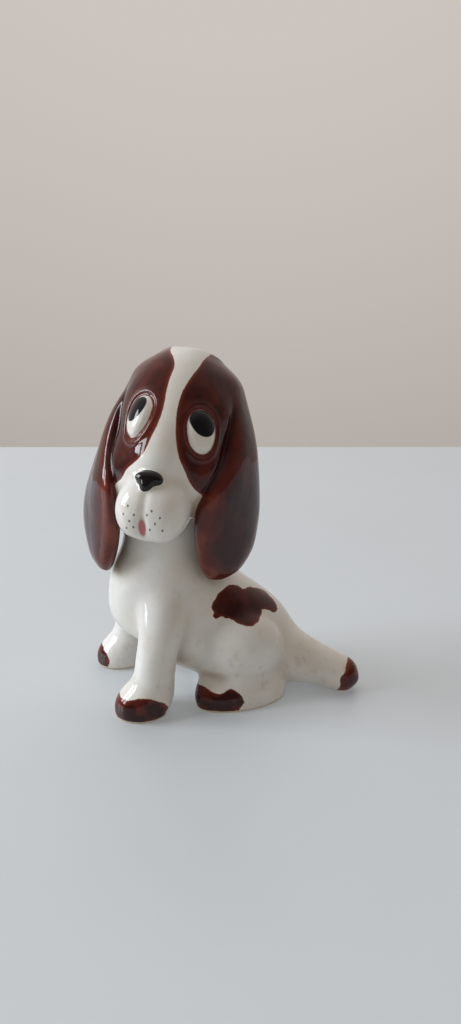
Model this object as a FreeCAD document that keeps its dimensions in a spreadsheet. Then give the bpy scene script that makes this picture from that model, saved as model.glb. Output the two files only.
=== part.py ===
"""Glazed ceramic dog figurine: a sitting long-eared puppy that looks over its left shoulder.

The row frame has +Z up, the dog's chest faces -Y and its left side is +X, in millimetres.
The figurine is slip-cast in sections that are luted to each other: a torso shell with a vent
hole, a head shell, two ears, four legs and a tail, with sprigged eyes and nose.
Every section is an object of one parametric document whose sizes come from the sheet "Sizes".
"""

import FreeCAD
import Part
import os

doc = FreeCAD.newDocument("DogFigurine")
sheet = doc.addObject("Spreadsheet::Sheet", "Sizes")


# ---- the sheet -------------------------------------------------------------------------------

def dimension(alias, value):
    """Puts one driving dimension in the sheet and returns the expression that reads it."""
    dimension.row += 1
    sheet.set(f"A{dimension.row}", alias)
    sheet.set(f"B{dimension.row}", str(value))
    sheet.setAlias(f"B{dimension.row}", alias)
    return f"Sizes.{alias}"


dimension.row = 0

WALL = dimension("wall", 3.2)                     # slip-cast wall of the two hollow sections
VENT_RADIUS = dimension("vent_radius", 1.75)      # pierced holes that let the kiln gas out

# The origin is below the middle of the figurine's box, so all sections are moved by this.
SHIFT_SIDE = dimension("shift_side", -4.375)
SHIFT_BACK = dimension("shift_back", -31.09)

# The head's own frame sits in the skull: x to the dog's left, -y along the face, z to the crown.
HEAD_SIDE = dimension("head_side", 2.8)
HEAD_BACK = dimension("head_back", 16.9)
HEAD_HEIGHT = dimension("head_height", 84.2)
HEAD_TURN = dimension("head_turn_deg", 67.5)      # to the dog's left
HEAD_COCK = dimension("head_cock_deg", 6.4)       # crown towards the left ear
HEAD_NOD = dimension("head_nod_deg", -15.0)       # chin up


def at(side, back, height, yaw=0, pitch=0, roll=0):
    """The expression of a placement in the body's frame, moved so that the origin is central."""
    return (f"placement(vector({side} + {SHIFT_SIDE}; {back} + {SHIFT_BACK}; {height}); "
            f"rotation({yaw}; {pitch}; {roll}))")


IN_HEAD = at(HEAD_SIDE, HEAD_BACK, HEAD_HEIGHT, HEAD_TURN, HEAD_COCK, HEAD_NOD)


def in_head(side, back, height, yaw=0, pitch=0, roll=0):
    """The expression of a placement given in the head's own frame."""
    local = f"placement(vector({side}; {back}; {height}); rotation({yaw}; {pitch}; {roll}))"
    return f"{IN_HEAD} * {local}"


# ---- features --------------------------------------------------------------------------------

def feature(kind, name, placement=None, **sizes):
    """Adds a Part feature and binds its sizes and placement to expressions."""
    made = doc.addObject(kind, name)
    for size, expression in sizes.items():
        made.setExpression(size, str(expression))
    if placement:
        made.setExpression("Placement", placement)
    return made


def ellipsoid(name, placement, side, back, height):
    """An ellipsoid with its half-lengths along its own x, y and z."""
    return feature("Part::Ellipsoid", name, placement,
                   Radius2=side, Radius3=back, Radius1=height)


def ring(name, placement, long, short):
    """An ellipse whose long half-axis is its own x."""
    return feature("Part::Ellipse", name, placement, MajorRadius=long, MinorRadius=short)


def loft(name, rings):
    """A smooth solid through closed rings."""
    made = doc.addObject("Part::Loft", name)
    made.Sections = rings
    made.Solid = True
    return made


def fuse(name, pieces):
    made = doc.addObject("Part::MultiFuse", name)
    made.Shapes = pieces
    return made


def cut(name, base, *tools):
    """Base without each tool in turn; the last cut carries the name."""
    for number, tool in enumerate(tools, 1):
        made = doc.addObject("Part::Cut", name if number == len(tools) else f"{name}_{number}")
        made.Base, made.Tool = base, tool
        base = made
    return base


def sheet_rows(prefix, columns, rows):
    """Puts a table of section sizes in the sheet: one dictionary of expressions per row."""
    return [{column: dimension(f"{prefix}_{number}_{column}", value)
             for column, value in zip(columns, row)}
            for number, row in enumerate(rows, 1)]


# ---- torso -----------------------------------------------------------------------------------
# Level slices from the flat base of the rump, through belly, chest and shoulders, to the neck.

TORSO = sheet_rows("torso", ("height", "back", "long", "wide"), [
    (0.0, 37.5, 12.4, 12.0),
    (1.5, 37.6, 15.0, 14.6),
    (5.0, 37.4, 17.6, 17.2),
    (9.0, 36.6, 19.6, 18.8),
    (12.5, 34.6, 22.0, 19.4),
    (16.0, 30.4, 25.2, 19.2),
    (20.0, 26.2, 27.2, 18.5),
    (26.0, 21.8, 27.4, 17.3),
    (33.0, 17.4, 23.6, 16.0),
    (40.0, 13.8, 18.9, 14.9),
    (47.0, 12.4, 14.6, 13.4),
    (55.0, 13.4, 12.7, 12.0),
    (63.0, 15.2, 11.6, 11.0),
    (71.0, 17.0, 9.4, 8.6),
])
CAVITY_TOP = 10      # slices that the torso's hollow runs through, leaving the neck closed


def torso_rings(name, rows, wall="0"):
    return [ring(f"{name}_{number}", at("0", row["back"], row["height"], 90),
                 f"{row['long']} - {wall}", f"{row['wide']} - {wall}")
            for number, row in enumerate(rows, 1)]


torso_body = loft("torso_body", torso_rings("torso_ring", TORSO))
torso_hollow = loft("torso_hollow", torso_rings("hollow_ring", TORSO[2:CAVITY_TOP], WALL))


# ---- head ------------------------------------------------------------------------------------

HEAD_LUMPS = {
    # name: side, back, height of the centre, then the half-lengths side, back and height
    "skull": (0.0, 0.0, 2.4, 16.0, 18.0, 22.8),
    "bridge": (0.0, -11.0, -8.0, 10.0, 13.5, 17.0),
    "jaw": (0.0, -4.0, -14.0, 13.4, 15.5, 14.6),
    "muzzle": (0.0, -17.0, -22.5, 9.2, 10.2, 9.8),
    "left_flew": (4.0, -17.6, -23.9, 6.4, 9.2, 8.6),
    "right_flew": (-4.0, -17.6, -23.9, 6.4, 9.2, 8.6),
    "chin": (0.0, -14.6, -29.2, 6.0, 7.4, 4.6),
    "left_cheek": (7.6, -8.6, -14.5, 7.4, 10.0, 13.0),
    "right_cheek": (-7.6, -8.6, -14.5, 7.4, 10.0, 13.0),
}
HOLLOW_LUMPS = ("skull", "jaw")


def head_lump(name, wall="0", suffix=""):
    sizes = HEAD_CELLS[name]
    return ellipsoid(name + suffix, in_head(sizes["side"], sizes["back"], sizes["height"]),
                     f"{sizes['half_side']} - {wall}", f"{sizes['half_back']} - {wall}",
                     f"{sizes['half_height']} - {wall}")


LUMP_COLUMNS = ("side", "back", "height", "half_side", "half_back", "half_height")
HEAD_CELLS = {name: sheet_rows(name, LUMP_COLUMNS, [row])[0] for name, row in HEAD_LUMPS.items()}

head_body = fuse("head_body", [head_lump(name) for name in HEAD_LUMPS])
head_hollow = fuse("head_hollow", [head_lump(name, WALL, "_hollow") for name in HOLLOW_LUMPS])


# ---- ears ------------------------------------------------------------------------------------
# Level slices in the head's frame. Each ear is a long drop that leaves the crown, lies along
# the skull and hangs free beside the neck, its back edge swung outwards.

EAR = sheet_rows("ear", ("height", "side", "back", "long", "thick", "swing"), [
    (22.2, 7.0, 1.5, 3.0, 1.6, 20),
    (19.8, 9.2, 1.2, 5.4, 2.8, 22),
    (13.0, 12.5, 1.0, 8.0, 3.6, 26),
    (3.0, 15.3, 0.6, 9.6, 4.0, 31),
    (-9.0, 17.6, 0.4, 11.2, 4.2, 36),
    (-21.0, 19.2, 0.8, 12.2, 4.3, 39),
    (-31.5, 18.9, 2.2, 11.4, 4.0, 42),
    (-39.0, 17.9, 4.0, 8.6, 3.4, 44),
    (-43.6, 17.3, 5.2, 5.0, 2.4, 44),
    (-45.2, 17.1, 5.6, 2.2, 1.2, 44),
])


def ear_drop():
    """The drop of the right ear, cut to lie on the skull."""
    rings = [ring(f"ear_ring_{number}",
                  in_head(f"-{row['side']}", row["back"], row["height"],
                          f"90 + {row['swing']}"),
                  row["long"], row["thick"])
             for number, row in enumerate(EAR, 1)]
    return cut("ear_on_skull", loft("ear_drop", rings), head_body)


def across_the_face(name, source):
    """A mirrored copy across the middle plane of the head."""
    made = doc.addObject("Part::Mirroring", name)
    made.Source = source
    made.setExpression("Base", f"vector({HEAD_SIDE} + {SHIFT_SIDE}; {HEAD_BACK} + {SHIFT_BACK};"
                               f" {HEAD_HEIGHT})")
    made.setExpression("Normal", f"rotation({HEAD_TURN}; {HEAD_COCK}; {HEAD_NOD})"
                                 " * vector(1; 0; 0)")
    return made


# ---- legs ------------------------------------------------------------------------------------

LEG_COLUMNS = ("height", "side", "back", "long", "wide")
FORELEG = sheet_rows("foreleg", LEG_COLUMNS, [
    (0.0, 17.4, 1.6, 7.5, 6.5),
    (1.2, 17.4, 1.6, 8.3, 7.3),
    (4.0, 17.4, 1.9, 8.6, 7.6),
    (7.0, 17.3, 3.0, 8.0, 7.2),
    (10.5, 17.2, 5.2, 6.9, 6.4),
    (16.0, 17.0, 6.4, 6.4, 6.0),
    (22.0, 16.4, 7.8, 6.4, 6.1),
    (26.5, 15.0, 8.9, 4.6, 4.3),
    (28.5, 14.2, 9.4, 2.4, 2.2),
])
SHOULDER = sheet_rows("shoulder", LUMP_COLUMNS, [(12.2, 10.2, 29.0, 9.2, 8.2, 12.5)])[0]
RIGHT_FOREPAW_LEAD = dimension("right_forepaw_lead", 3.6)

HIND_FOOT = sheet_rows("hind_foot", LEG_COLUMNS, [
    (0.0, 16.4, 31.0, 11.4, 6.8),
    (1.2, 16.4, 31.0, 12.2, 7.6),
    (4.5, 16.2, 30.6, 12.2, 7.9),
    (8.0, 15.6, 29.8, 10.6, 7.2),
    (10.8, 14.8, 29.4, 7.6, 5.4),
    (12.2, 14.4, 29.4, 3.4, 2.6),
])
HAUNCH = sheet_rows("haunch", LUMP_COLUMNS, [(13.8, 32.6, 16.8, 9.6, 13.0, 12.2)])[0]


def leg_rings(name, rows, side, lead="0"):
    return [ring(f"{name}_ring_{number}",
                 at(f"{side} * {row['side']}", f"{row['back']} - {lead}", row["height"], 90),
                 row["long"], row["wide"])
            for number, row in enumerate(rows, 1)]


def muscle(name, sizes, side, lead="0"):
    """The rounded shoulder or haunch that a leg grows from."""
    return ellipsoid(name, at(f"{side} * {sizes['side']}", f"{sizes['back']} - {lead}",
                              sizes["height"]),
                     sizes["half_side"], sizes["half_back"], sizes["half_height"])


def foreleg_body(name, side, lead="0"):
    """A shoulder above a straight leg on a round paw."""
    leg = loft(f"{name}_leg", leg_rings(name, FORELEG, side, lead))
    return fuse(f"{name}_body", [leg, muscle(f"{name}_shoulder", SHOULDER, side,
                                             f"0.5 * {lead}")])


def hind_leg_body(name, side):
    """A haunch folded over its long flat foot."""
    foot = loft(f"{name}_foot", leg_rings(name, HIND_FOOT, side))
    return fuse(f"{name}_body", [foot, muscle(f"{name}_haunch", HAUNCH, side)])


# ---- tail ------------------------------------------------------------------------------------

TAIL = sheet_rows("tail", ("side", "back", "height", "radius"), [
    (4.0, 45.0, 11.6, 9.6),
    (9.0, 52.5, 9.2, 8.6),
    (12.8, 59.0, 7.4, 7.1),
    (15.6, 64.5, 6.2, 6.0),
    (17.2, 69.0, 5.5, 5.2),
    (18.0, 71.6, 5.2, 3.6),
    (18.4, 72.8, 5.1, 1.4),
])
TAIL_SWING = dimension("tail_swing_deg", 27)      # towards the dog's left
TAIL_DROOP = dimension("tail_droop_deg", 10)


# ---- sections as they leave the mould, cut to sit face to face --------------------------------

def vent_pin(name, side, back, low, length):
    """The upright pin that pierces a vent hole."""
    cells = sheet_rows(name, ("side", "back", "low", "length"), [(side, back, low, length)])[0]
    return feature("Part::Cylinder", name, at(cells["side"], cells["back"], cells["low"]),
                   Radius=VENT_RADIUS, Height=cells["length"])


base_vent = vent_pin("base_vent", 0.0, 37.0, -5.0, 15.0)      # out through the flat base
neck_vent = vent_pin("neck_vent", 1.5, 15.0, 36.0, 34.0)      # from torso hollow to head hollow


def make_torso():
    return cut("torso", torso_body, torso_hollow, base_vent, neck_vent, head_body)


def make_head():
    return cut("head", head_body, head_hollow, neck_vent)


def make_ears():
    right = ear_drop()
    left = across_the_face("ear_mirrored", right)
    return [cut("left_ear", left, torso_body), cut("right_ear", right, torso_body)]


def make_foreleg(name, side, lead="0"):
    return cut(name, foreleg_body(name, side, lead), torso_body)


def make_hind_leg(name, side):
    return cut(name, hind_leg_body(name, side), torso_body)


def make_tail(hind_leg):
    rings = [ring(f"tail_ring_{number}",
                  at(row["side"], row["back"], row["height"],
                     f"-{TAIL_SWING}", "0", f"-90 - {TAIL_DROOP}"),
                  row["radius"], row["radius"])
             for number, row in enumerate(TAIL, 1)]
    return cut("tail", loft("tail_body", rings), torso_body, hind_leg)


# Each eye has its own place, because they were set by hand; spread is how far it faces aside.
EYE_COLUMNS = (*LUMP_COLUMNS, "spread")
LEFT_EYE, RIGHT_EYE = sheet_rows("eye", EYE_COLUMNS, [
    (8.9, -14.4, -0.1, 4.6, 2.4, 6.6, 38),
    (-6.4, -16.7, 1.5, 4.6, 2.4, 6.6, -38),
])
NOSE = sheet_rows("nose", LUMP_COLUMNS, [(0.0, -25.6, -15.2, 4.0, 2.4, 2.6)])[0]


def make_eye(name, sizes):
    lens = ellipsoid(f"{name}_lens",
                     in_head(sizes["side"], sizes["back"], sizes["height"], sizes["spread"]),
                     sizes["half_side"], sizes["half_back"], sizes["half_height"])
    return cut(name, lens, head_body)


def make_nose():
    button = ellipsoid("nose_button", in_head(NOSE["side"], NOSE["back"], NOSE["height"]),
                       NOSE["half_side"], NOSE["half_back"], NOSE["half_height"])
    return cut("nose", button, head_body)


left_hind_leg = make_hind_leg("left_hind_leg", 1)
sections = [
    make_torso(),
    make_head(),
    *make_ears(),
    make_foreleg("left_foreleg", 1),
    make_foreleg("right_foreleg", -1, RIGHT_FOREPAW_LEAD),
    left_hind_leg,
    make_hind_leg("right_hind_leg", -1),
    make_tail(left_hind_leg),
    make_eye("left_eye", LEFT_EYE),
    make_eye("right_eye", RIGHT_EYE),
    make_nose(),
]


# ---- build, check and write ------------------------------------------------------------------

doc.recompute()
for made in doc.Objects:
    if "Invalid" in made.State or "Error" in made.State:
        raise RuntimeError(f"{made.Name} failed to build: {made.State}")

os.makedirs("parts", exist_ok=True)
box = FreeCAD.BoundBox()
for section in sections:
    shape = section.Shape
    if shape.isNull() or not shape.isValid() or not shape.Solids:
        raise RuntimeError(f"{section.Label} is not a valid solid")
    box.add(shape.BoundBox)
    shape.exportStep(f"parts/{section.Label}.step")
    print(f"{section.Label}: {len(shape.Solids)} solid, {shape.Volume / 1000:.2f} cm3")
print(f"box {box.XMin:.2f} {box.XMax:.2f}  {box.YMin:.2f} {box.YMax:.2f}  "
      f"{box.ZMin:.2f} {box.ZMax:.2f}")
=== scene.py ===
import math

import bpy
import numpy as np
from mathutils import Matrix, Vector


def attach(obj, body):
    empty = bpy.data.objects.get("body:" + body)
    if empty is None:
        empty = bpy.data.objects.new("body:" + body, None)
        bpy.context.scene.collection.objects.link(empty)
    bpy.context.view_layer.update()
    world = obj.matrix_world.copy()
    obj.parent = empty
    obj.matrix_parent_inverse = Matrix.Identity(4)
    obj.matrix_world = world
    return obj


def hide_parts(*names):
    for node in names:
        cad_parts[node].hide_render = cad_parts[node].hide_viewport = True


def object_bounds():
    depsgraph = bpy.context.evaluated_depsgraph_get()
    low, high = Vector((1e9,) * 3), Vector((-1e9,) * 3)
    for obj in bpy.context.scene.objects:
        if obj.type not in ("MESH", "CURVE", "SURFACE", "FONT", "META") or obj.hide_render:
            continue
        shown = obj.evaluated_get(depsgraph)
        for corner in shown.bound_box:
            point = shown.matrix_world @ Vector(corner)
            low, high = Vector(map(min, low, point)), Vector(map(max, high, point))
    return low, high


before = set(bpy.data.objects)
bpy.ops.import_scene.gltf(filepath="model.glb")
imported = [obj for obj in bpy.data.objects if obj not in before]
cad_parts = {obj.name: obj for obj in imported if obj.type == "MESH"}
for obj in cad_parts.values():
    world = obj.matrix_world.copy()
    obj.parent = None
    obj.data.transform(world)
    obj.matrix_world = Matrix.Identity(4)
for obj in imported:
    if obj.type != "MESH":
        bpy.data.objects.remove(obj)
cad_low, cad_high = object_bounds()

import openvdb
from mathutils import Euler, Vector

# Lengths are millimetres until a mesh is written, because the figurine is small: 109 mm tall.
MM = 0.001

# ---- the dog's own frame ---------------------------------------------------------------------
# The forms below are measured from the point between the forepaws. These are the same moves as
# in the CAD sheet: from there to the row frame, and from the row frame to the head's frame.

PAWS_TO_ROW = np.array([-4.375, -31.09, 0.0])
HEAD_AT = np.array([2.8, 16.9, 84.2])
HEAD_TURN, HEAD_COCK, HEAD_NOD = (math.radians(angle) for angle in (67.5, 6.4, 15.0))
HEAD_AXES = np.array(Euler((-HEAD_NOD, HEAD_COCK, HEAD_TURN), "XYZ").to_matrix())


# ---- camera ----------------------------------------------------------------------------------

CAMERA_AT = (227.0, -15.1, 128.0)       # from the point between the forepaws
CAMERA_AZIMUTH, CAMERA_DIP = 78.0, 17.0
LENS, SENSOR = 27.07, 36.0

camera = bpy.data.objects.new("camera", bpy.data.cameras.new("camera"))
bpy.context.collection.objects.link(camera)
camera.data.sensor_width = SENSOR
camera.data.lens = LENS
camera.data.clip_start = 0.01
camera.location = Vector(np.array(CAMERA_AT) + PAWS_TO_ROW) * MM
camera.rotation_euler = (math.radians(90.0 - CAMERA_DIP), 0.0, math.radians(CAMERA_AZIMUTH))
bpy.context.scene.camera = camera


# ---- fields ----------------------------------------------------------------------------------
# A form is a function of points (three arrays of x, y and z) that gives the distance to its
# surface, negative inside. The figurine is one field made of such forms, melted together.

def smooth_curve(stations, values, samples=400):
    """A natural cubic spline through values at rising stations, as a function."""
    stations, values = np.asarray(stations, float), np.asarray(values, float)
    steps = np.diff(stations)
    count = len(stations)
    matrix, target = np.eye(count), np.zeros(count)
    for i in range(1, count - 1):
        matrix[i, i - 1:i + 2] = steps[i - 1], 2.0 * (steps[i - 1] + steps[i]), steps[i]
        target[i] = 6.0 * ((values[i + 1] - values[i]) / steps[i]
                           - (values[i] - values[i - 1]) / steps[i - 1])
    bend = np.linalg.solve(matrix, target)
    fine = np.linspace(stations[0], stations[-1], samples)
    i = np.clip(np.searchsorted(stations, fine) - 1, 0, count - 2)
    a = (stations[i + 1] - fine) / steps[i]
    b = 1.0 - a
    curve = (a * values[i] + b * values[i + 1]
             + ((a ** 3 - a) * bend[i] + (b ** 3 - b) * bend[i + 1]) * steps[i] ** 2 / 6.0)
    return lambda at: np.interp(at, fine, curve)


def blob(points, centre, half):
    """An ellipsoid about centre, with its half-lengths along x, y and z."""
    x, y, z = (points[axis] - centre[axis] for axis in range(3))
    near = np.sqrt((x / half[0]) ** 2 + (y / half[1]) ** 2 + (z / half[2]) ** 2)
    slope = np.sqrt((x / half[0] ** 2) ** 2 + (y / half[1] ** 2) ** 2 + (z / half[2] ** 2) ** 2)
    return near * (near - 1.0) / (slope + 1e-6)


class Stack:
    """A solid of level oval slices: rows of height, side, back, long, wide, swing."""

    def __init__(self, rows, power=2.0, slant=0.85):
        rows = sorted(rows)
        heights = [row[0] for row in rows]
        self.low, self.high = heights[0], heights[-1]
        self.curves = [smooth_curve(heights, [row[k] for row in rows]) for k in range(1, 6)]
        self.power, self.slant = power, slant

    def __call__(self, points):
        x, y, z = points
        level = np.clip(z, self.low, self.high)
        side, back, long, wide, swing = (curve(level) for curve in self.curves)
        swing = np.radians(swing)
        x, y = x - side, y - back
        along = x * np.sin(swing) + y * np.cos(swing)
        across = x * np.cos(swing) - y * np.sin(swing)
        ratio = ((np.abs(along) / long) ** self.power
                 + (np.abs(across) / wide) ** self.power) ** (1.0 / self.power)
        flat = np.sqrt(x * x + y * y) * (1.0 - 1.0 / (ratio + 1e-6))
        flat = np.where(ratio < 0.05, -wide, flat) * self.slant
        return np.maximum(flat, np.maximum(z - self.high, self.low - z))


def melt(a, b, reach):
    """The union of two fields with a fillet about as wide as reach."""
    h = np.maximum(reach - np.abs(a - b), 0.0) / reach
    return np.minimum(a, b) - h ** 3 * reach / 6.0


def both(a, b, reach):
    """The smaller of two distances, with the corner between them rounded off."""
    return -np.maximum(-a, -b) - np.maximum(reach - np.abs(a - b), 0.0) ** 3 / (6.0 * reach ** 2)


def step(value, low, high):
    """0 below low, 1 above high, smooth between."""
    t = np.clip((value - low) / (high - low), 0.0, 1.0)
    return t * t * (3.0 - 2.0 * t)


def to_head(points):
    """Points of the paws frame in the head's frame: x to its left, -y out of the face."""
    offset = [points[axis] - HEAD_AT[axis] for axis in range(3)]
    return [sum(offset[axis] * HEAD_AXES[axis, k] for axis in range(3)) for k in range(3)]


# ---- forms: torso and limbs ------------------------------------------------------------------

TORSO = Stack([
    (-4.0, 0.0, 37.5, 14.0, 13.6, 0.0),
    (0.0, 0.0, 37.5, 15.2, 14.8, 0.0),
    (5.0, 0.0, 38.2, 16.8, 17.0, 0.0),
    (8.6, 0.0, 35.8, 20.6, 18.4, 0.0),
    (11.0, 0.0, 33.2, 23.4, 18.8, 0.0),
    (13.0, 0.0, 32.2, 24.4, 19.0, 0.0),
    (16.0, 0.0, 30.3, 25.0, 18.8, 0.0),
    (20.0, 0.0, 26.2, 27.0, 18.2, 0.0),
    (26.0, 0.0, 21.8, 27.2, 17.0, 0.0),
    (33.0, 0.0, 17.4, 23.4, 15.7, 0.0),
    (40.0, 0.0, 13.8, 18.6, 14.6, 0.0),
    (47.0, 0.2, 12.4, 14.3, 13.0, 0.0),
    (55.0, 1.0, 12.6, 13.0, 11.8, 0.0),
    (63.0, 2.0, 12.8, 13.6, 11.2, 0.0),
    (71.0, 2.6, 15.2, 11.4, 8.8, 0.0),
    (76.0, 2.6, 17.0, 5.0, 4.6, 0.0),
], slant=0.8)

FORELEG_ROWS = [
    (-4.0, 17.4, 1.6, 7.0, 6.0, 0.0),
    (0.0, 17.4, 1.6, 8.0, 7.0, 0.0),
    (3.5, 17.4, 2.3, 8.9, 7.5, 0.0),
    (7.0, 17.3, 3.5, 8.4, 7.1, 0.0),
    (10.5, 17.2, 5.2, 6.9, 6.3, 0.0),
    (16.0, 17.0, 6.4, 6.3, 5.9, 0.0),
    (22.0, 16.0, 7.6, 6.4, 6.0, 0.0),
    (30.0, 12.8, 9.4, 7.0, 6.4, 0.0),
    (38.0, 9.0, 10.8, 6.0, 5.6, 0.0),
    (44.0, 7.0, 11.6, 2.4, 2.2, 0.0),
]
RIGHT_FOREPAW_LEAD = 3.6

HIND_FOOT_ROWS = [
    (-4.0, 16.4, 33.0, 13.4, 6.6, -8.0),
    (0.0, 16.4, 33.2, 14.6, 7.4, -8.0),
    (4.5, 16.2, 32.8, 14.8, 7.8, -8.0),
    (8.0, 15.4, 32.3, 13.0, 6.9, -8.0),
    (10.8, 14.6, 31.6, 9.4, 5.0, -8.0),
    (12.4, 14.2, 31.2, 4.0, 2.0, -8.0),
]
HAUNCH_AT, HAUNCH_HALF = (13.0, 33.2, 16.4), (9.8, 13.4, 11.4)

# The tail's slices run along its own axis, which leaves the rump at this point and direction.
TAIL_ROOT = (4.0, 45.0, 11.4)
TAIL_SWING, TAIL_DROOP = math.radians(29.0), math.radians(14.6)
TAIL_ROWS = [
    (-3.0, 0.0, 0.0, 9.4, 9.4, 0.0),
    (4.0, 0.0, 0.0, 8.8, 8.8, 0.0),
    (10.0, 0.0, 0.0, 8.2, 8.1, 0.0),
    (16.0, 0.0, 0.1, 7.0, 6.9, 0.0),
    (22.0, 0.0, 0.2, 6.2, 6.1, 0.0),
    (26.0, 0.0, 0.1, 5.8, 5.6, 0.0),
    (28.2, 0.0, 0.0, 5.0, 4.8, 0.0),
    (29.9, 0.0, -0.1, 3.4, 3.2, 0.0),
    (31.2, 0.0, 0.0, 0.8, 0.8, 0.0),
]
TAIL = Stack(TAIL_ROWS, slant=0.95)


# How wide the fillet is where two forms meet. The haunch sinks into its foot towards the back.
FORELEG_FILLET, HIND_LEG_FILLET, TAIL_FILLET, NECK_FILLET = 3.4, 3.6, 5.0, 4.0
HAUNCH_FILLET_FRONT, HAUNCH_FILLET_MORE, HAUNCH_FILLET_FROM, HAUNCH_FILLET_TO = 1.4, 6.6, 21.0, 31.0


def limb(rows, side, lead=0.0):
    """A leg's slices for one side; lead moves them forward."""
    return Stack([(row[0], side * row[1], row[2] - lead, *row[3:5], side * row[5])
                  for row in rows])


FORELEGS = {1: limb(FORELEG_ROWS, 1), -1: limb(FORELEG_ROWS, -1, RIGHT_FOREPAW_LEAD)}
HIND_FEET = {1: limb(HIND_FOOT_ROWS, 1), -1: limb(HIND_FOOT_ROWS, -1)}


def hind_leg(points, side):
    """A haunch folded over its long flat foot."""
    at = (side * HAUNCH_AT[0], *HAUNCH_AT[1:])
    back = step(points[1], HAUNCH_FILLET_FROM, HAUNCH_FILLET_TO)
    reach = HAUNCH_FILLET_FRONT + HAUNCH_FILLET_MORE * back
    return melt(HIND_FEET[side](points), blob(points, at, HAUNCH_HALF), reach)


def along_tail(points):
    """Points in the tail's own frame: side, up, and distance along it."""
    x, y, z = (points[axis] - TAIL_ROOT[axis] for axis in range(3))
    back = x * math.sin(TAIL_SWING) + y * math.cos(TAIL_SWING)
    side = x * math.cos(TAIL_SWING) - y * math.sin(TAIL_SWING)
    along = back * math.cos(TAIL_DROOP) - z * math.sin(TAIL_DROOP)
    up = z * math.cos(TAIL_DROOP) + back * math.sin(TAIL_DROOP)
    return side, up, along


# ---- forms: head (all in the head's frame) ---------------------------------------------------

# Ear slices: height, side and back of the front edge, side and back of the back edge, thickness.
EAR_EDGES = [
    (21.4, 6.0, -1.5, 9.0, 4.0, 0.8),
    (18.8, 8.8, -3.6, 12.2, 6.0, 2.4),
    (13.0, 12.0, -5.5, 15.5, 8.4, 3.4),
    (5.0, 15.2, -7.0, 18.8, 9.0, 3.6),
    (-2.0, 16.6, -8.8, 21.4, 9.4, 3.6),
    (-9.0, 15.8, -12.0, 23.4, 9.6, 3.7),
    (-15.0, 14.2, -15.2, 24.8, 9.8, 3.8),
    (-21.0, 12.8, -15.8, 25.6, 10.2, 4.0),
    (-27.0, 12.0, -13.6, 25.8, 10.4, 4.0),
    (-33.0, 12.2, -9.8, 25.4, 10.6, 3.9),
    (-39.0, 13.2, -6.2, 23.6, 9.6, 3.4),
    (-43.0, 14.6, -3.2, 21.0, 7.4, 2.6),
    (-45.2, 15.6, -0.4, 18.4, 4.6, 1.4),
]
EAR_LIFT = {1: 0.89, -1: 1.0}       # the left ear hangs a little shorter
EAR_LIFT_FROM = -20.0
EAR_GROOVE = -0.55                  # height of the line pressed in where an ear leaves the cheek
EAR_FLARE, EAR_FLARE_AT = 1.6, -26.0    # the right ear stands out a little further


def ear_rows(side):
    rows = []
    for height, front_side, front_back, back_side, back_back, thick in EAR_EDGES:
        if side < 0:
            back_side += EAR_FLARE * math.exp(-((height - EAR_FLARE_AT) / 11.0) ** 2)
        if height < EAR_LIFT_FROM:
            height = EAR_LIFT_FROM + (height - EAR_LIFT_FROM) * EAR_LIFT[side]
        wide, deep = back_side - front_side, back_back - front_back
        rows.append((height, side * 0.5 * (front_side + back_side),
                     0.5 * (front_back + back_back), 0.5 * math.hypot(wide, deep), thick,
                     side * math.degrees(math.atan2(wide, deep))))
    return rows


EARS = {side: Stack(ear_rows(side), power=2.3, slant=0.9) for side in (1, -1)}

SKULL = (0.0, -1.0, 2.2), (17.4, 18.4, 22.3)
BRIDGE = (0.0, -11.0, -8.0), (10.0, 13.5, 16.0)
JAW = (0.0, -4.0, -13.0), (14.0, 15.5, 13.6)
MUZZLE = (0.0, -17.0, -22.4), (9.4, 10.2, 9.4)
FLEW = (4.0, -17.6, -23.3), (6.1, 9.2, 8.3)
CHIN = (0.0, -14.6, -28.0), (5.6, 6.8, 4.2)
CHEEK = (8.0, -8.0, -12.5), (8.2, 9.4, 12.0)

# Each eye: its middle, then how far it faces to its own side and how far its oval leans.
EYE_AT = {1: (9.0, -15.8, -0.1), -1: (-6.7, -17.8, 1.5)}
EYE_HALF = (4.75, 5.95)
EYE_SPREAD, EYE_LEAN = {1: 45.0, -1: 39.0}, {1: -6.0, -1: 3.0}
EYE_RIDGE = {1: 0.3, -1: 0.5}
EYE_PEAK = {1: 0.0, -1: 0.3}        # the right eye is highest off its middle
NOSE_AT, NOSE_HALF = (-0.7, -24.5, -14.7), (3.9, 2.0, 2.0)
NOSE_TIP_AT, NOSE_TIP_HALF = (-0.9, -25.6, -16.6), (1.5, 1.3, 1.9)


BRIDGE_FILLET, JAW_FILLET, CHEEK_FILLET, MUZZLE_FILLET = 9.0, 8.0, 7.0, 4.0
FLEW_FILLET, CHIN_FILLET, NOSE_FILLET, NOSE_TIP_FILLET = 3.0, 2.5, 0.8, 1.6
EYE_BULGE, EYE_GROOVE = 1.8, 0.45
EYE_MEAN_HALF = 5.2                 # turns a share of the eye's oval into millimetres
CLEFT_DEPTH, MOUTH_DEPTH = 0.5, 1.1


def nose(head):
    tip = blob(head, NOSE_TIP_AT, NOSE_TIP_HALF)
    return melt(blob(head, NOSE_AT, NOSE_HALF), tip, NOSE_TIP_FILLET)


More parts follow.
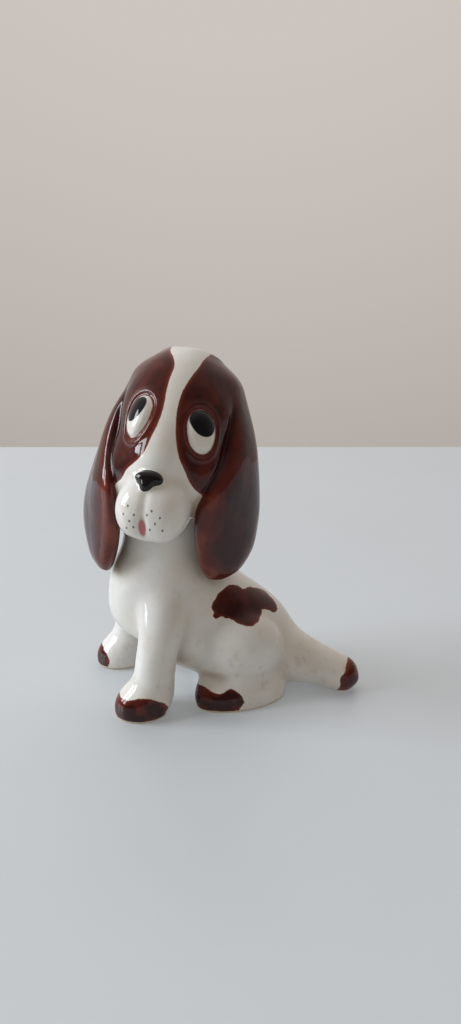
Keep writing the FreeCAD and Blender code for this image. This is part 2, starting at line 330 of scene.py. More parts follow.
def skull_and_face(head):
    """The head without ears, eyes and nose."""
    field = melt(blob(head, *SKULL), blob(head, *BRIDGE), BRIDGE_FILLET)
    field = melt(field, blob(head, *JAW), JAW_FILLET)
    for side in (1, -1):
        (cx, cy, cz), half = CHEEK
        field = melt(field, blob(head, (side * cx, cy, cz), half), CHEEK_FILLET)
    muzzle = blob(head, *MUZZLE)
    for side in (1, -1):
        (cx, cy, cz), half = FLEW
        muzzle = melt(muzzle, blob(head, (side * cx, cy, cz), half), FLEW_FILLET)
    muzzle = melt(muzzle, blob(head, *CHIN), CHIN_FILLET)
    return melt(field, muzzle, MUZZLE_FILLET)


def on_eye(head, side):
    """Place on an eye's oval: radius as a share of it, height off its plane, across and up."""
    spread = math.radians(side * EYE_SPREAD[side])
    x, y, z = (head[axis] - EYE_AT[side][axis] for axis in range(3))
    across = x * math.cos(spread) + y * math.sin(spread)
    out = x * math.sin(spread) - y * math.cos(spread)
    lean = math.radians(side * EYE_LEAN[side])
    across, up = (across * math.cos(lean) - z * math.sin(lean),
                  z * math.cos(lean) + across * math.sin(lean))
    share = np.sqrt((across / EYE_HALF[0]) ** 2 + (up / EYE_HALF[1]) ** 2)
    return share, out, across, up


def eye_relief(head, side):
    """How far the eye bulges, with the groove and the lid ridge modelled round it."""
    share, out, across, _ = on_eye(head, side)
    edge = (share - 1.0) * EYE_MEAN_HALF
    bulge = EYE_BULGE * np.sqrt(np.clip(1.0 - share ** 2, 0.0, 1.0))
    bulge = bulge * (1.0 + EYE_PEAK[side] * across / EYE_HALF[0])
    groove = -EYE_GROOVE * np.exp(-((edge - 0.35) / 0.45) ** 2)
    ridge = EYE_RIDGE[side] * np.exp(-((edge - 1.45) / 0.6) ** 2)
    return (bulge + groove + ridge) * step(out, -6.0, -3.0)


def face_relief(head):
    """The cleft below the nose and the dent of the mouth."""
    x, y, z = head
    front = step(-y, 19.0, 22.0)
    cleft = (-CLEFT_DEPTH * np.exp(-((x + 0.4) / 1.1) ** 2)
             * step(z, -29.5, -26.5) * step(-z, 17.0, 19.5))
    mouth = -MOUTH_DEPTH * np.exp(-((x + 0.55) / 1.1) ** 2 - ((z + 28.4) / 2.6) ** 2)
    return (cleft + mouth) * front


# ---- the whole field -------------------------------------------------------------------------

PARTS = ("torso", "head", "left_ear", "right_ear", "left_foreleg", "right_foreleg",
         "left_hind_leg", "right_hind_leg", "tail")


NOWHERE = 9.0               # a distance or share that is out of every form's reach
EAR_CREASE_REACH = 1.2


def part_fields(points, head):
    """Each part's own form."""
    return {
        "torso": TORSO(points),
        "head": skull_and_face(head),
        "left_ear": EARS[1](head),
        "right_ear": EARS[-1](head),
        "left_foreleg": FORELEGS[1](points),
        "right_foreleg": FORELEGS[-1](points),
        "left_hind_leg": hind_leg(points, 1),
        "right_hind_leg": hind_leg(points, -1),
        "tail": TAIL(along_tail(points)),
    }


def melted(points):
    """The figurine before its fine relief, the head's points, and how far each is from a crease
    between an ear and the skull."""
    head = to_head(points)
    forms = part_fields(points, head)
    body = forms["torso"]
    for name in ("left_foreleg", "right_foreleg"):
        body = melt(body, forms[name], FORELEG_FILLET)
    for name in ("left_hind_leg", "right_hind_leg"):
        body = melt(body, forms[name], HIND_LEG_FILLET)
    body = melt(body, forms["tail"], TAIL_FILLET)
    skull = forms["head"]
    body = melt(body, skull, NECK_FILLET)
    # The ears grow out of the crown, lie loosely by the cheeks and just touch the neck.
    hug = 1.0 + 6.0 * step(head[2], 6.0, 18.0) + 1.0 * step(-head[2], 16.0, 24.0)
    crease = NOWHERE
    for name in ("left_ear", "right_ear"):
        body = melt(body, forms[name], hug)
        away = 3.0 * np.maximum(np.abs(forms[name]) - EAR_CREASE_REACH, 0.0)
        crease = np.minimum(crease, np.abs(forms[name] - skull) + away)
    return body, head, crease


VOXEL = 0.45
MARGIN = 4.0
SOLE_ROUND = 1.0
FORM_BLUR, HOLLOW_BLUR, RELIEF_BLUR = 0.6, 2.2, 0.35


def grid_axes():
    low = np.array(cad_low) / MM - PAWS_TO_ROW - MARGIN
    high = np.array(cad_high) / MM - PAWS_TO_ROW + MARGIN
    return [np.arange(low[axis], high[axis], VOXEL, dtype=np.float32) for axis in range(3)]


def blur(field, sigma):
    """A gaussian blur of the grid, sigma in millimetres."""
    reach = int(math.ceil(2.5 * sigma / VOXEL))
    taps = np.exp(-0.5 * (np.arange(-reach, reach + 1) * VOXEL / sigma) ** 2)
    taps = (taps / taps.sum()).astype(np.float32)
    for axis in range(3):
        padded = np.pad(field, [(reach, reach) if k == axis else (0, 0) for k in range(3)],
                        mode="edge")
        span = field.shape[axis]
        field = sum(tap * np.take(padded, range(k, k + span), axis=axis)
                    for k, tap in enumerate(taps))
    return field


axes = grid_axes()
points = np.meshgrid(*axes, indexing="ij")
field, head, crease = melted(points)
field = blur(field, FORM_BLUR)
soft_field = blur(field, HOLLOW_BLUR)     # higher than the surface in hollows, lower on ridges
for side in (1, -1):
    field = field - eye_relief(head, side)
field = melt(field, nose(head), NOSE_FILLET)
field = field - face_relief(head)
field = field - EAR_GROOVE * np.exp(-(crease / 1.0) ** 2) * step(-head[2], -12.0, -4.0)
field = blur(field, RELIEF_BLUR)

# The soles are ground flat and their edges are softly rounded.
floor = -points[2]
h = np.maximum(SOLE_ROUND - np.abs(field - floor), 0.0) / SOLE_ROUND
field = np.maximum(field, floor) + h ** 3 * SOLE_ROUND / 6.0


# ---- surface ---------------------------------------------------------------------------------

def sample(grid, places):
    """Trilinear reading of a grid at places (n by 3)."""
    cell = [(places[:, axis] - axes[axis][0]) / VOXEL for axis in range(3)]
    base = [np.clip(cell[axis].astype(int), 0, grid.shape[axis] - 2) for axis in range(3)]
    frac = [cell[axis] - base[axis] for axis in range(3)]
    total = 0.0
    for corner in range(8):
        bits = [(corner >> axis) & 1 for axis in range(3)]
        weight = 1.0
        for axis in range(3):
            weight = weight * (frac[axis] if bits[axis] else 1.0 - frac[axis])
        total = total + weight * grid[base[0] + bits[0], base[1] + bits[1], base[2] + bits[2]]
    return total


def slopes(grid, places, reach=0.5 * VOXEL):
    """The grid's gradient at places."""
    result = np.empty_like(places)
    for axis in range(3):
        offset = np.zeros(3)
        offset[axis] = reach
        result[:, axis] = (sample(grid, places + offset) - sample(grid, places - offset))
    return result / (2.0 * reach)


def skin(grid):
    """Quads on the zero level of the grid."""
    vdb = openvdb.FloatGrid()
    vdb.background = 3.0
    vdb.copyFromArray(np.clip(grid, -3.0, 3.0).astype(np.float32), tolerance=0.0)
    places, quads = vdb.convertToQuads(0.0)
    places = places.astype(float) * VOXEL + np.array([axis[0] for axis in axes])
    return places, quads.astype(int)


LONGEST_MOVE, LEAST_SLOPE = 0.3, 0.05


def project(places, rounds=2):
    """Returns places to the surface."""
    for _ in range(rounds):
        slope = slopes(field, places)
        size = np.maximum((slope ** 2).sum(1), LEAST_SLOPE)
        move = np.clip(sample(field, places) / size, -LONGEST_MOVE, LONGEST_MOVE)
        places = places - move[:, None] * slope
    return places


def relax(places, quads, rounds):
    """Evens out the quads and returns each vertex to the surface."""
    edges = np.unique(np.sort(np.concatenate(
        [quads[:, [k, (k + 1) % 4]] for k in range(4)]), axis=1), axis=0)
    count = np.bincount(edges.ravel(), minlength=len(places)).astype(float)[:, None]
    for _ in range(rounds):
        total = np.zeros_like(places)
        for k in range(3):
            total[:, k] = (np.bincount(edges[:, 0], places[edges[:, 1], k], len(places))
                           + np.bincount(edges[:, 1], places[edges[:, 0], k], len(places)))
        places = places + 0.5 * (total / count - places)
        places = project(places)
    return places


# ---- paint lines -----------------------------------------------------------------------------
# The brushed colours, as distances in millimetres to the edge of each, positive inside.
# Many points of the blaze, the patch and the whisker dots are not worked out here: they were set
# out by eye and carried onto the surface by a separate measuring script.

# White blaze down the face: height and side of its right and left edges in the head's frame.
BLAZE_RIGHT = [(-24.0, -22.0), (-18.5, -13.0), (-16.0, -9.9), (-13.5, -8.5), (-10.4, -5.1),
               (-4.5, -2.0), (1.2, -0.6), (7.5, -0.6), (13.4, -0.8), (18.9, -1.4),
               (22.1, -4.1), (27.0, -5.0)]
BLAZE_LEFT = [(-24.0, 26.0), (-19.0, 17.0), (-17.4, 13.0), (-15.6, 10.4), (-12.8, 8.6),
              (-8.6, 6.4), (-3.5, 4.7), (1.9, 3.6), (7.6, 3.2), (12.1, 3.9),
              (18.0, 5.8), (22.0, 6.5), (27.0, 8.0)]
MASK_BACK, MASK_LOWEST = 9.5, -20.0

# Outline of the patch on the left flank: distance back, and height less a part of the side.
PATCH_SLANT = 0.55
PATCH = [(26.3, 27.9), (28.0, 29.3), (30.1, 31.0), (32.7, 31.3), (34.4, 30.2), (35.6, 29.3),
         (37.6, 30.4), (40.1, 30.1), (43.1, 29.7), (45.7, 27.3), (47.2, 24.1), (47.3, 21.3),
         (45.4, 20.2), (43.6, 21.4), (41.2, 21.8), (40.8, 20.3), (39.7, 19.0), (38.4, 17.2),
         (36.1, 15.6), (33.9, 15.9), (31.8, 17.0), (29.6, 19.2), (28.2, 19.2), (27.1, 20.3),
         (25.2, 19.2), (24.0, 20.4), (24.8, 21.8), (23.8, 23.2), (24.9, 25.6)]

TAIL_TIP = 26.0                 # along the tail
FOREPAW_TOP, FOREPAW_BACK, FOREPAW_INSIDE = 7.6, 11.0, -4.4
HIND_PAW_TOP, HIND_PAW_BACK = 7.1, 33.2
HIND_PAW_INSIDE, HIND_PAW_FRONT = 9.0, 15.0
PAW_TUCK = 2.6                  # how far the paw's colour draws in towards the sole
PAINT_REACH = 3.0               # distances are kept only this far from an edge


def edge_distance(value, height, rows):
    """Distance past an edge given as side by height."""
    edge = smooth_curve([row[0] for row in rows], [row[1] for row in rows])
    lean = (edge(height + 0.2) - edge(height - 0.2)) / 0.4
    return (value - edge(height)) / np.sqrt(1.0 + lean ** 2)


def outline_distance(u, v, corners):
    """Distance inside a closed outline whose corners have been cut once."""
    corners = np.array(corners)
    following = np.roll(corners, -1, axis=0)
    ring = np.stack([0.75 * corners + 0.25 * following,
                     0.25 * corners + 0.75 * following], axis=1).reshape(-1, 2)
    nearest, inside = np.full(len(u), 1e6), np.zeros(len(u), bool)
    for (au, av), (bu, bv) in zip(ring, np.roll(ring, -1, axis=0)):
        du, dv = bu - au, bv - av
        t = np.clip(((u - au) * du + (v - av) * dv) / (du * du + dv * dv), 0.0, 1.0)
        nearest = np.minimum(nearest, np.hypot(u - au - t * du, v - av - t * dv))
        crosses = (av > v) != (bv > v)
        inside ^= crosses & (u < au + (v - av) * du / (dv if dv else 1e-9))
    return np.where(inside, nearest, -nearest)


def mask_paint(head):
    """Both sides of the face, outside the white blaze and ahead of the white back of the head."""
    side, back, height = head
    mask = np.maximum(edge_distance(side, height, BLAZE_LEFT),
                      -edge_distance(side, height, BLAZE_RIGHT))
    mask = both(mask, MASK_BACK + 0.7 * np.sin(height / 4.0) - back, 7.0)
    return np.minimum(mask, height - MASK_LOWEST)


def patch_paint(points):
    """The patch on the left flank."""
    x, y, z = points
    flank = outline_distance(y, z - PATCH_SLANT * x, PATCH)
    return np.minimum(flank, np.minimum(x + 3.0, z - 20.0))


def tail_paint(points):
    return along_tail(points)[2] - TAIL_TIP + 0.3 * np.sin(1.3 * points[2])


def paw_paint(points, foot):
    """The toes of the forepaw and of the hind paw on one side."""
    x, y, z = points
    lead = RIGHT_FOREPAW_LEAD if foot < 0 else 0.0
    out, forward = foot * x, y + lead
    tuck = PAW_TUCK * step(-z, -4.0, 0.0)
    top = FOREPAW_TOP + 0.7 * np.sin(0.55 * forward + 0.6)
    limit = FOREPAW_BACK + (FOREPAW_INSIDE - FOREPAW_BACK) * step(-out, -17.5, -13.0)
    paw = both(top - z, limit - tuck - 0.5 * z - forward, 4.0)
    top = HIND_PAW_TOP + 0.7 * np.cos(0.8 * (y - 20.6))
    hind = both(top - z, HIND_PAW_BACK - tuck - 0.2 * z - y, 4.5)
    hind = np.minimum(hind, np.minimum(out - HIND_PAW_INSIDE, y - HIND_PAW_FRONT))
    return np.maximum(np.minimum(paw, 12.0 - forward), hind)


def brown_paint(points, head, ears):
    """Mask, ears, flank patch, toes and tail tip. ears is how far each place is on an ear."""
    brown = np.maximum(np.maximum(mask_paint(head), ears), patch_paint(points))
    brown = np.maximum(brown, tail_paint(points))
    for foot in (1, -1):
        brown = np.maximum(brown, paw_paint(points, foot))
    for eye in (1, -1):
        share, out, _, _ = on_eye(head, eye)
        brown = np.where(out > EYE_DEPTH, np.minimum(brown, (share - 1.0) * EYE_HALF[0]), brown)
    return np.clip(brown, -PAINT_REACH, PAINT_REACH)


# ---- pieces ----------------------------------------------------------------------------------
# The skin is divided where one part's own form gives way to the next. Each piece is then closed
# inside the clay, and keeps the normals of the whole skin, so no seam shows in the glaze.

NODES = PARTS + ("left_eye", "right_eye", "nose")
SLOTS = {"left_ear": "brown_glaze", "right_ear": "brown_glaze", "left_eye": "eye_glaze",
         "right_eye": "eye_glaze", "nose": "black_glaze"}
CAP_DEPTH, SMALL_CAP_DEPTH = {"torso": 2.2, "head": 1.5}, 0.8
CAP_RINGS = (0.0, 0.4, 0.75)        # how far in from the rim, as a share of the way to the middle
SEAM_STEP = 0.22                    # how far a seam's vertex may move in one round
EYE_DEPTH = -3.0                    # behind the eye's plane by this much, a place is not on it
PUPIL_HALF, PUPIL_LIFT = {1: (4.2, 4.1), -1: (3.5, 4.1)}, {1: 1.9, -1: 1.5}


def split_axes(places):
    """Places (n by 3) as three arrays of x, y and z."""
    return [places[:, axis] for axis in range(3)]


def claims(places):
    """How far each place is from each part's own form: the nearest part claims it."""
    points = split_axes(places)
    head = to_head(points)
    forms = part_fields(points, head)
    found = [forms[name] for name in PARTS]
    nearest = np.min(found, axis=0)
    for side in (1, -1):
        share, out, _, _ = on_eye(head, side)
        found.append(nearest + np.where(out > EYE_DEPTH, (share - 1.0) * EYE_HALF[0], NOWHERE))
    found.append(nose(head))
    return np.array(found)


def quad_edges(quads):
    """Every edge of every quad, and for each the quads on its two sides."""
    edges = np.stack([quads, np.roll(quads, -1, axis=1)], axis=2).reshape(-1, 2)
    owner = np.repeat(np.arange(len(quads)), 4)
    keys = np.sort(edges, axis=1)
    order = np.lexsort((keys[:, 1], keys[:, 0]))
    first, second = order[0::2], order[1::2]
    return edges, owner, first, second


def settle_labels(labels, left, right, rounds=12):
    """Gives each quad the label of most of its neighbours where it stands nearly alone."""
    for _ in range(rounds):
        votes = np.zeros((len(labels), len(NODES)), int)
        np.add.at(votes, (left, labels[right]), 1)
        np.add.at(votes, (right, labels[left]), 1)
        own = votes[np.arange(len(labels)), labels]
        lonely = own <= 1
        if not lonely.any():
            break
        labels = np.where(lonely, votes.argmax(axis=1), labels)
    return labels


def drop_islands(labels, left, right, smallest=400):
    """Gives small separate patches of a label to their neighbours."""
    for _ in range(6):
        group = np.arange(len(labels))
        same = labels[left] == labels[right]
        a, b = left[same], right[same]
        while True:
            before = group.copy()
            low = np.minimum(group[a], group[b])
            np.minimum.at(group, a, low)
            np.minimum.at(group, b, low)
            group = group[group]
            if (group == before).all():
                break
        sizes = np.bincount(group, minlength=len(labels))[group]
        biggest = np.zeros(len(NODES), int)
        np.maximum.at(biggest, labels, sizes)
        stray = sizes < np.minimum(biggest[labels], smallest)
        if not stray.any():
            break
        votes = np.zeros((len(labels), len(NODES)), int)
        for one, other in ((left, right), (right, left)):
            keep = stray[one] & ~stray[other]
            np.add.at(votes, (one[keep], labels[other[keep]]), 1)
        moved = stray & (votes.sum(axis=1) > 0)
        labels = np.where(moved, votes.argmax(axis=1), labels)
    return labels


def smooth_seams(places, quads, labels, edges, owner, first, second):
    """Moves the vertices between two pieces onto the line where their claims are equal."""
    seam = labels[owner[first]] != labels[owner[second]]
    ends = edges[first[seam]]
    pairs = np.stack([labels[owner[first[seam]]], labels[owner[second[seam]]]], axis=1)
    pairs.sort(axis=1)
    vertices = np.concatenate([ends[:, 0], ends[:, 1]])
    codes = np.concatenate([pairs[:, 0] * 100 + pairs[:, 1]] * 2)
    order = np.argsort(vertices, kind="stable")
    vertices, codes = vertices[order], codes[order]
    unique, start, count = np.unique(vertices, return_index=True, return_counts=True)
    plain = np.minimum.reduceat(codes, start) == np.maximum.reduceat(codes, start)
    unique, code = unique[plain], codes[start[plain]]
    one, other = code // 100, code % 100
    rows = np.arange(len(unique))

    def lead(at):
        found = claims(at)
        return found[one, rows] - found[other, rows]

    for _ in range(3):
        at = places[unique]
        slope = np.empty_like(at)
        for axis in range(3):
            offset = np.zeros(3)
            offset[axis] = 0.1
            slope[:, axis] = (lead(at + offset) - lead(at - offset)) / 0.2
        out = slopes(field, at)
        out /= np.linalg.norm(out, axis=1, keepdims=True) + 1e-9
        slope -= (slope * out).sum(1)[:, None] * out
        size = np.maximum((slope ** 2).sum(1), 0.2)
        move = -(lead(at) / size)[:, None] * slope
        far = np.maximum(np.linalg.norm(move, axis=1) / SEAM_STEP, 1.0)
        places[unique] = project(at + move / far[:, None], 1)
    return places


def rim_loops(faces):
    """The closed loops of edges that only one quad uses, in the quads' own direction."""
    edges = np.stack([faces, np.roll(faces, -1, axis=1)], axis=2).reshape(-1, 2)
    known = {(a, b) for a, b in edges.tolist()}
    following = {}
    for a, b in known:
        if (b, a) not in known:
            following.setdefault(a, []).append(b)
    loops = []
    while following:
        start = next(iter(following))
        loop, at = [], start
        while at in following:
            loop.append(at)
            nexts = following[at]
            at = nexts.pop()
            if not nexts:
                del following[loop[-1]]
        if len(loop) > 2:
            loops.append(loop)
    return loops


def piece_mesh(name, faces, places, normals, layers):
    """One piece's mesh: its share of the skin, closed by a sunken cap at each rim."""
    used, faces_here = np.unique(faces, return_inverse=True)
    faces_here = faces_here.reshape(-1, 4)
    spots, out = places[used], normals[used]
    picks = list(used)
    polygons = faces_here.tolist()
    skin_count = len(polygons)
    depth = CAP_DEPTH.get(name, SMALL_CAP_DEPTH)
    extra = []
    total = len(spots)
    for loop in rim_loops(faces_here):
        ring = spots[loop] - depth * out[loop]
        middle = ring.mean(axis=0)
        before = loop
        for share in CAP_RINGS:
            now = list(range(total, total + len(loop)))
            extra.append(ring + share * (middle - ring))
            picks += [used[k] for k in loop]
            total += len(loop)
            for k in range(len(loop)):
                n = (k + 1) % len(loop)
                polygons.append([before[n], before[k], now[k], now[n]])
            before = now
        extra.append(middle[None, :])
        picks.append(used[loop[0]])
        for k in range(len(loop)):
            polygons.append([before[(k + 1) % len(loop)], before[k], total])
        total += 1
    if extra:
        spots = np.concatenate([spots] + extra)
    mesh = bpy.data.meshes.new(name)
    mesh.from_pydata(((spots + PAWS_TO_ROW) * MM).tolist(), [], polygons)
    mesh.polygons.foreach_set("use_smooth", [True] * len(polygons))
    corners = np.zeros((len(mesh.loops), 3), np.float32)
    corners[:4 * skin_count] = out[faces_here.ravel()]
    mesh.normals_split_custom_set(corners.tolist())
    for layer, values in layers.items():
        kind = "FLOAT" if values.ndim == 1 else "FLOAT_VECTOR"
        made = mesh.attributes.new(layer, kind, "POINT")
        made.data.foreach_set("value" if kind == "FLOAT" else "vector",
                              values[picks].astype(np.float32).ravel())
    return mesh


EAR_PAINT_OVER = 0.12               # how far the ears' brown runs past their join
PUPIL_REACH = 1.6                   # beyond this share of the pupil, its layer holds NOWHERE

places, quads = skin(field)
places = relax(places, quads, 4)
edges, owner, first, second = quad_edges(quads)
left, right = owner[first], owner[second]
labels = claims(places[quads].mean(axis=1)).argmin(axis=0)
labels = settle_labels(labels, left, right)
labels = drop_islands(labels, left, right)
labels = settle_labels(labels, left, right)
places = smooth_seams(places, quads, labels, edges, owner, first, second)

normals = slopes(field, places)
normals /= np.linalg.norm(normals, axis=1, keepdims=True) + 1e-9
points = split_axes(places)
head = to_head(points)
found = claims(places)
ear_indexes = [PARTS.index("left_ear"), PARTS.index("right_ear")]
others = [k for k in range(len(PARTS)) if k not in ear_indexes]
ears = 0.5 * (found[others].min(axis=0) - found[ear_indexes].min(axis=0)) + EAR_PAINT_OVER


def on_pupil(side):
    """Place from the pupil's centre, in shares of its own half width and height."""
    _, out, across, up = on_eye(head, side)
    (wide, tall), lift = PUPIL_HALF[side], PUPIL_LIFT[side]
    return np.stack([across / wide, out / 6.0, (up - lift) / tall], axis=1)


pupil = np.where((head[0] > 0.5)[:, None], on_pupil(1), on_pupil(-1))
pupil[np.linalg.norm(pupil, axis=1) > PUPIL_REACH] = NOWHERE
layers = {
    "brown": brown_paint(points, head, ears),
    "hollow": -sample(soft_field, places),
    "face": np.stack(head, axis=1),
    "pupil": pupil,
}


# ---- glazes ----------------------------------------------------------------------------------

WHISKER_DOTS = [(-4.6, -22.7), (-5.7, -25.1), (-2.6, -24.8), (-3.8, -26.7), (-2.7, -28.2),
                (-4.7, -28.8), (2.1, -23.0), (0.9, -24.3), (4.5, -24.5), (3.3, -26.3),
                (1.9, -28.2), (5.3, -27.9)]
DOT_HALF = (0.28, 6.0, 0.36)
MUZZLE_FRONT = -26.0
MOUTH_AT, MOUTH_HALF = (-0.55, -25.0, -28.4), (1.0, 6.0, 2.6)

# The third colour is painted shade: the warm grey-brown that creases and hollows are darkened to.
WHITE, WARM_WHITE, CREASE_SHADE = (0.79, 0.775, 0.745), (0.75, 0.71, 0.645), (0.40, 0.32, 0.23)
THIN_BROWN, BROWN, THICK_BROWN = (0.20, 0.042, 0.022), (0.098, 0.016, 0.011), (0.034, 0.007, 0.007)
BLACK, PINK = (0.006, 0.006, 0.008), (0.52, 0.12, 0.12)
BISQUE, SPECK = (0.62, 0.50, 0.36), (0.30, 0.22, 0.15)


GLAZE_ROUGH, NOSE_ROUGH, BISQUE_ROUGH, GLAZE_IOR = (0.045, 0.10), (0.04, 0.09), 0.7, 1.42
SOLE_LINE = (0.7 * MM, 0.95 * MM)       # height of the bare clay's edge


class Shading:
    """Writes one material's nodes."""

    def __init__(self, name):
        self.material = bpy.data.materials.new(name)
        self.material.use_nodes = True
        self.tree = self.material.node_tree
        self.shader = self.tree.nodes["Principled BSDF"]
        coordinates = self.tree.nodes.new("ShaderNodeTexCoord")
        self.place = coordinates.outputs["Object"]

    def put(self, socket, value):
        if isinstance(value, bpy.types.NodeSocket):
            self.tree.links.new(value, socket)
        elif socket.type == "RGBA":
            socket.default_value = (*value, 1.0)
        else:
            socket.default_value = value

    def add(self, kind, values, out=0, **settings):
        node = self.tree.nodes.new("ShaderNode" + kind)
        for key, value in settings.items():
            setattr(node, key, value)
        for key, value in values.items():
            self.put(node.inputs[key], value)
        return node.outputs[out]

    def math(self, operation, a, b=0.0):
        return self.add("Math", {0: a, 1: b}, operation=operation)

    def ramp(self, value, low, high, start=0.0, end=1.0):
        return self.add("MapRange", {0: value, 1: low, 2: high, 3: start, 4: end},
                        interpolation_type="SMOOTHSTEP")

    def noise(self, millimetres, detail=2.0, centred=False):
        found = self.add("TexNoise", {"Vector": self.place, "Scale": 1.0 / (millimetres * MM),
                                      "Detail": detail, "Roughness": 0.55})
        return self.math("SUBTRACT", found, 0.5) if centred else found

    def attribute(self, name, vector=False):
        return self.add("Attribute", {}, out=1 if vector else 2, attribute_name=name)

    def blend(self, factor, a, b):
        return self.add("Mix", {0: factor, 6: a, 7: b}, out=2, data_type="RGBA")

    def spot(self, coordinates, centre, half, soft=0.12):
        """1 inside an ellipsoid about centre, 0 outside, with an edge as wide as soft."""
        offset = self.add("VectorMath", {0: coordinates, 1: centre}, operation="SUBTRACT")
        scaled = self.add("VectorMath", {0: offset, 1: half}, operation="DIVIDE")
        length = self.add("VectorMath", {0: scaled}, out=1, operation="LENGTH")
        return self.ramp(length, 1.0 - soft, 1.0 + soft, 1.0, 0.0)


def glaze(name, all_black=False):
    """The painted glaze. Every piece has the same one, apart from the nose's black."""
    s = Shading(name)
    hollow = s.attribute("hollow")
    brown = s.attribute("brown")
    face = s.attribute("face", vector=True)
    height = s.add("SeparateXYZ", {0: s.place}, out=2)

    colour = s.blend(s.ramp(s.noise(14.0, 3.0), 0.35, 0.68), WHITE, WARM_WHITE)
    # Painted shade: the white is darkened, patchily, towards a warm grey-brown in creases and
    # hollows.
    crease_shade = s.math("MULTIPLY", s.ramp(hollow, -0.05, 0.7),
                    s.ramp(s.noise(5.0, 4.0), 0.2, 0.7, 0.5, 0.95))
    colour = s.blend(crease_shade, colour, CREASE_SHADE)
    # Darker grey-brown mottling, strongest towards the bottom.
    low_mottle = s.math("MULTIPLY", s.ramp(s.noise(3.2, 5.0), 0.54, 0.75, 0.0, 0.26),
                    s.ramp(height, 0.004, 0.050, 1.0, 0.12))
    colour = s.blend(low_mottle, colour, SPECK)
    specks = s.ramp(s.noise(0.55, 1.0), 0.755, 0.80, 0.0, 0.5)
    colour = s.blend(specks, colour, SPECK)

    wander = s.math("ADD", s.math("MULTIPLY", s.noise(2.6, 2.0, True), 0.75),
                    s.math("MULTIPLY", s.noise(0.7, 1.0, True), 0.28))
    ragged = s.ramp(height, 0.045, 0.062, 1.15, 0.35)
    brushed = s.math("ADD", brown, s.math("MULTIPLY", wander, ragged))
    load_and_shade = s.math("MULTIPLY", s.ramp(brushed, 0.0, 1.5, 0.12, 1.0),
                  s.ramp(s.noise(8.0, 2.0), 0.28, 0.66, 0.62, 1.0))
    # Painted shade: the brown is drawn thicker and darker in creases and hollows.
    load_and_shade = s.math("ADD", load_and_shade, s.math("MULTIPLY", s.ramp(hollow, -0.7, 0.5), 0.5))
    load_and_shade = s.math("SUBTRACT", load_and_shade, s.ramp(hollow, -0.35, -1.0, 0.0, 0.45))
    toes = s.math("MULTIPLY", s.ramp(height, 0.003, 0.014, 0.6, 0.0),
                  s.ramp(s.noise(4.0, 2.0), 0.35, 0.6))
    load_and_shade = s.math("ADD", load_and_shade, toes)
    streaks = s.math("MULTIPLY", s.noise(1.6, 4.0, True), 0.22)
    load_and_shade = s.math("ADD", load_and_shade, streaks)
    paint = s.blend(s.ramp(load_and_shade, 0.05, 0.75), THIN_BROWN, BROWN)
    paint = s.blend(s.ramp(load_and_shade, 0.75, 1.35), paint, THICK_BROWN)
    covered = s.ramp(brushed, -0.10, 0.14)
    colour = s.blend(covered, colour, paint)

    shine = s.ramp(s.noise(4.0, 3.0), 0.3, 0.7, *(NOSE_ROUGH if all_black else GLAZE_ROUGH))
    if all_black:
        colour = s.blend(s.ramp(s.noise(2.0), 0.3, 0.7, 0.0, 0.3), BLACK, THICK_BROWN)
    else:
        pupils = s.spot(s.attribute("pupil", vector=True), (0, 0, 0), (1, 1, 1), 0.03)
        colour = s.blend(pupils, colour, BLACK)
        lips = s.spot(face, MOUTH_AT, MOUTH_HALF, 0.22)
        colour = s.blend(s.math("MULTIPLY", lips, 0.85), colour, PINK)
        for side, up in WHISKER_DOTS:
            dot = s.spot(face, (side, MUZZLE_FRONT, up), DOT_HALF, 0.35)
            colour = s.blend(s.math("MULTIPLY", dot, 0.8), colour, BLACK)
        waver = s.math("MULTIPLY", s.noise(3.0, 2.0, True), 0.6 * MM)
        bare = s.ramp(s.math("ADD", height, waver), *SOLE_LINE, 1.0, 0.0)
        colour = s.blend(bare, colour, BISQUE)
        shine = s.math("MAXIMUM", shine, s.math("MULTIPLY", bare, BISQUE_ROUGH))
    s.put(s.shader.inputs["Roughness"], shine)
    s.put(s.shader.inputs["Base Color"], colour)
    s.shader.inputs["IOR"].default_value = GLAZE_IOR
    relief = s.math("ADD", s.math("MULTIPLY", covered, 0.030),
                    s.math("ADD", s.math("MULTIPLY", s.noise(5.5, 1.0), 0.30),
                           s.math("MULTIPLY", s.noise(1.1, 1.0), 0.010)))
    bump = s.add("Bump", {"Strength": 0.55, "Distance": MM, "Height": relief})
    s.put(s.shader.inputs["Normal"], bump)
    return s.material


GLAZES = {
    "white_glaze": glaze("painted_white_glaze"),
    "brown_glaze": glaze("painted_brown_glaze"),
    "eye_glaze": glaze("painted_eye_glaze"),
    "black_glaze": glaze("black_glaze", all_black=True),
}

for index, node in enumerate(NODES):
    slot = SLOTS.get(node, "white_glaze")
    mesh = piece_mesh(node + "_skin", quads[labels == index], places, normals, layers)
    mesh.materials.append(GLAZES[slot])
    piece = bpy.data.objects.new(node + "_skin", mesh)
    bpy.context.collection.objects.link(piece)
    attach(piece, "root")
    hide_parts(node)


# ---- stage -----------------------------------------------------------------------------------

VIEW_TURN = math.radians(CAMERA_AZIMUTH)
VIEW = Vector((-math.sin(VIEW_TURN), math.cos(VIEW_TURN), 0.0))
RIGHT = Vector((VIEW.y, -VIEW.x, 0.0))
TABLE_BACK = 0.593              # table's far edge, level distance from the camera
WALL_COLOUR, ROOM_COLOUR = (0.604, 0.558, 0.521), (0.115, 0.098, 0.080)
TABLE_COLOUR, TABLE_ROUGH = (0.452, 0.479, 0.502), 0.35
TABLE_GLOW = 0.30               # lifts the table's shadows, as light bounced in the room does


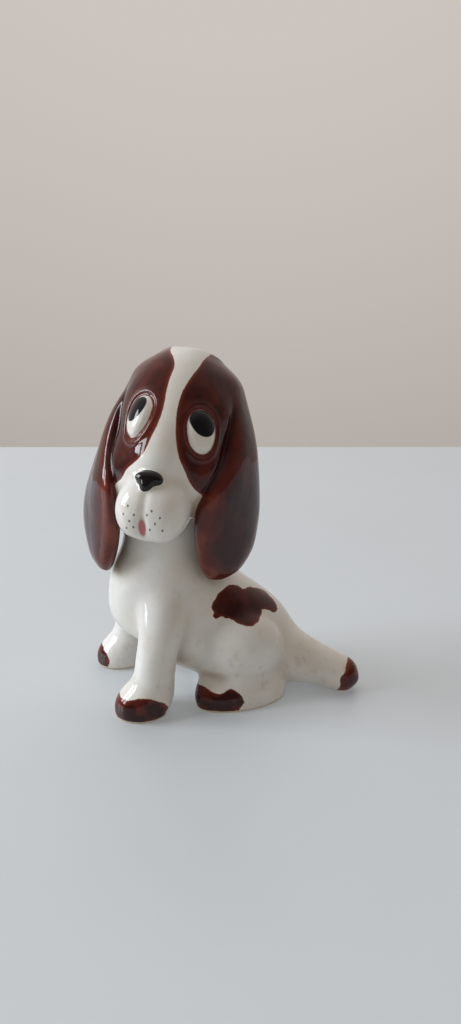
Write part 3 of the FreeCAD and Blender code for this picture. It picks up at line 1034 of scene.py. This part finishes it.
def card(name, corners, colour, rough, glow):
    """A flat sheet of the stage, finished with a faint mottle."""
    made = bpy.data.meshes.new(name)
    made.from_pydata(corners, [], [(0, 1, 2, 3)])
    thing = bpy.data.objects.new(name, made)
    bpy.context.collection.objects.link(thing)
    s = Shading(name)
    darker = tuple(0.93 * channel for channel in colour)
    s.put(s.shader.inputs["Base Color"], s.blend(s.noise(60.0, 2.0), colour, darker))
    s.shader.inputs["Roughness"].default_value = rough
    s.shader.inputs["Emission Color"].default_value = (*colour, 1.0)
    s.shader.inputs["Emission Strength"].default_value = glow
    made.materials.append(s.material)


eye_point = Vector(camera.location)
far = Vector((eye_point.x, eye_point.y, 0.0)) + VIEW * TABLE_BACK
near = far - VIEW * 3.0
card("table", [far - RIGHT * 2, near - RIGHT * 2, near + RIGHT * 2, far + RIGHT * 2],
     TABLE_COLOUR, TABLE_ROUGH, TABLE_GLOW)


def in_room(right, along, up):
    """A place given in metres to the right, along the view, and up."""
    return RIGHT * right + VIEW * along + Vector((0.0, 0.0, up))


def lamp(name, at, aim, wide, tall, energy, colour, mirrored=True):
    """A soft rectangular lamp. One that isn't mirrored lights the glaze but doesn't show in it."""
    light = bpy.data.objects.new(name, bpy.data.lights.new(name, "AREA"))
    light.data.shape = "RECTANGLE"
    light.data.size, light.data.size_y = wide, tall
    light.data.energy, light.data.color = energy, colour
    light.location = in_room(*at)
    toward_aim = in_room(*aim) - in_room(*at)
    light.rotation_euler = toward_aim.to_track_quat("-Z", "Y").to_euler()
    light.visible_glossy = mirrored
    bpy.context.collection.objects.link(light)


AIM = (0.0, 0.0, 0.06)
DAYLIGHT, WINDOW_POWER = (0.87, 0.94, 1.0), 5.9
for name, along in (("window_left", 0.10), ("window_right", -0.22)):
    lamp(name, (-1.0, along, 0.50), AIM, 0.24, 0.66, WINDOW_POWER, DAYLIGHT)
lamp("ceiling", (-0.2, 0.75, 1.5), AIM, 2.2, 2.2, 10.0, (1.0, 0.99, 0.97), mirrored=False)
lamp("room_fill", (0.35, -1.2, 0.5), AIM, 1.6, 1.2, 2.8, (1.0, 0.88, 0.74), mirrored=False)

# The room: a pale wall beyond the table that is brighter higher up, and a darker side behind the
# camera.
ROOM_TILT, ROOM_SPAN = 0.7, (0.03, 1.14)
world = bpy.data.worlds.new("room")
bpy.context.scene.world = world
world.use_nodes = True
nodes, links = world.node_tree.nodes, world.node_tree.links
toward = nodes.new("ShaderNodeVectorMath")
toward.operation = "DOT_PRODUCT"
toward.inputs[1].default_value = VIEW + Vector((0.0, 0.0, ROOM_TILT))
links.new(nodes.new("ShaderNodeTexCoord").outputs["Generated"], toward.inputs[0])
share = nodes.new("ShaderNodeMapRange")
links.new(toward.outputs["Value"], share.inputs[0])
for socket, value in zip(share.inputs[1:], (*ROOM_SPAN, 0.0, 1.0)):
    socket.default_value = value
room = nodes.new("ShaderNodeMix")
room.data_type = "RGBA"
room.inputs[6].default_value = (*ROOM_COLOUR, 1.0)
room.inputs[7].default_value = (*WALL_COLOUR, 1.0)
links.new(share.outputs[0], room.inputs[0])
links.new(room.outputs[2], nodes["Background"].inputs[0])
bpy.context.scene.view_settings.view_transform = "Standard"
